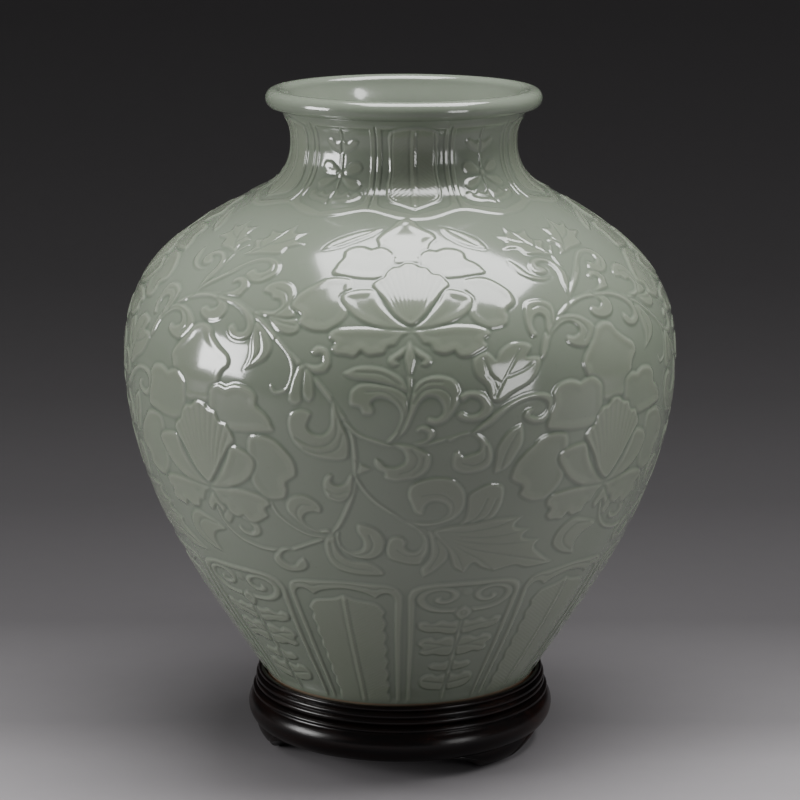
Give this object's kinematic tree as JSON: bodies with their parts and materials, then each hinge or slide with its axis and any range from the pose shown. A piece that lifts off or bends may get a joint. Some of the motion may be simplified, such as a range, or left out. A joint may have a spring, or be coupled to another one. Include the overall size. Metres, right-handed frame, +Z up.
{
  "type": "porcelain vase on wooden stand",
  "caption": "Wide-shouldered porcelain jar with a short neck and rolled lip, carved all over in low relief under a grey-green glaze, standing in a turned dark hardwood stand.",
  "frame": {"origin": "on the ground under the middle of the stand", "axes": "+Z up along the axis of the jar, -Y is the front, +X to the right seen from the front"},
  "size_m": [0.35, 0.3498, 0.423],
  "materials": {
    "celadon_glaze": "glossy grey-green glaze over carved porcelain",
    "lacquered_hardwood": "polished near-black lacquered hardwood",
    "plain_hardwood": "oiled dark hardwood"
  },
  "bodies": {
    "stand": {"collar_ring": "lacquered_hardwood", "seat_board": "plain_hardwood", "frame_right": "lacquered_hardwood", "frame_back": "lacquered_hardwood", "frame_left": "lacquered_hardwood", "spline_front": "plain_hardwood", "spline_right": "plain_hardwood", "spline_left": "plain_hardwood", "foot_right": "lacquered_hardwood", "foot_back": "lacquered_hardwood", "foot_left": "lacquered_hardwood"},
    "jar": {"vase": "celadon_glaze"}
  },
  "joints": [
    {"name": "jar_lift", "type": "slide", "parent": "stand", "child": "jar", "axis": [0, 0, 1], "range_m": [0, 0.08]}
  ]
}
